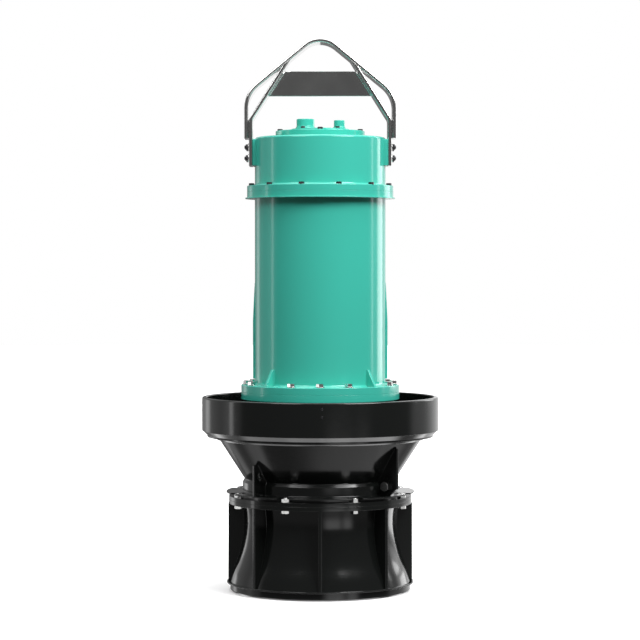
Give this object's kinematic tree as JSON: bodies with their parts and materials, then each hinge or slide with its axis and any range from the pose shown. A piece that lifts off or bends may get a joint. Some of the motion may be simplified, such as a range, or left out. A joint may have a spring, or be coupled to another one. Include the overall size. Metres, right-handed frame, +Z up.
{
  "type": "submersible axial flow pump",
  "caption": "Submersible axial flow pump for a column: black suction bell, diffuser and seating ring, turquoise motor with a bolted head, and a flat-bar lifting handle",
  "frame": {"origin": "centre of the underside of the base ring, on the floor", "axes": "+Z up along the pump shaft, +X to the right as seen from the front, -Y is the front; the lifting handle lies in the XZ plane"},
  "size_m": [0.78, 0.78, 1.8135],
  "materials": {
    "black_paint": "semi-gloss black paint on cast iron and steel",
    "turquoise_paint": "gloss turquoise paint on cast iron",
    "grey_steel": "satin stainless flat bar",
    "impeller_bronze": "satin cast bronze"
  },
  "bodies": {
    "root": {"base_ring": "black_paint", "bell_flange": "black_paint", "bell_lip": "black_paint", "bell_rib_1": "black_paint", "bell_rib_2": "black_paint", "bell_rib_3": "black_paint", "bell_rib_4": "black_paint", "bell_rib_5": "black_paint", "bell_rib_6": "black_paint", "bell_rib_7": "black_paint", "bell_rib_8": "black_paint", "casing_gusset_1": "black_paint", "casing_gusset_2": "black_paint", "casing_gusset_3": "black_paint", "diffuser_casing": "black_paint", "diffuser_flange": "black_paint", "diffuser_hub": "black_paint", "handle_arch": "grey_steel", "handle_cross_plate": "grey_steel", "handle_leg_left": "grey_steel", "handle_leg_right": "grey_steel", "handle_pad_left": "turquoise_paint", "handle_pad_right": "turquoise_paint", "handle_shim_left": "grey_steel", "handle_shim_right": "grey_steel", "head_flange": "turquoise_paint", "head_lid": "turquoise_paint", "hub_flange": "turquoise_paint", "impeller": "impeller_bronze", "motor_gusset_1": "turquoise_paint", "motor_gusset_2": "turquoise_paint", "motor_gusset_3": "turquoise_paint", "motor_gusset_4": "turquoise_paint", "motor_head": "turquoise_paint", "motor_housing": "turquoise_paint", "motor_lower_flange": "turquoise_paint", "motor_side_rib_left": "turquoise_paint", "motor_side_rib_right": "turquoise_paint", "motor_upper_flange": "turquoise_paint", "outlet_flange": "black_paint", "power_cable_entry": "turquoise_paint", "seating_ring": "black_paint", "signal_cable_entry": "turquoise_paint", "suction_bell": "black_paint", "torque_lug": "black_paint"}
  },
  "joints": []
}
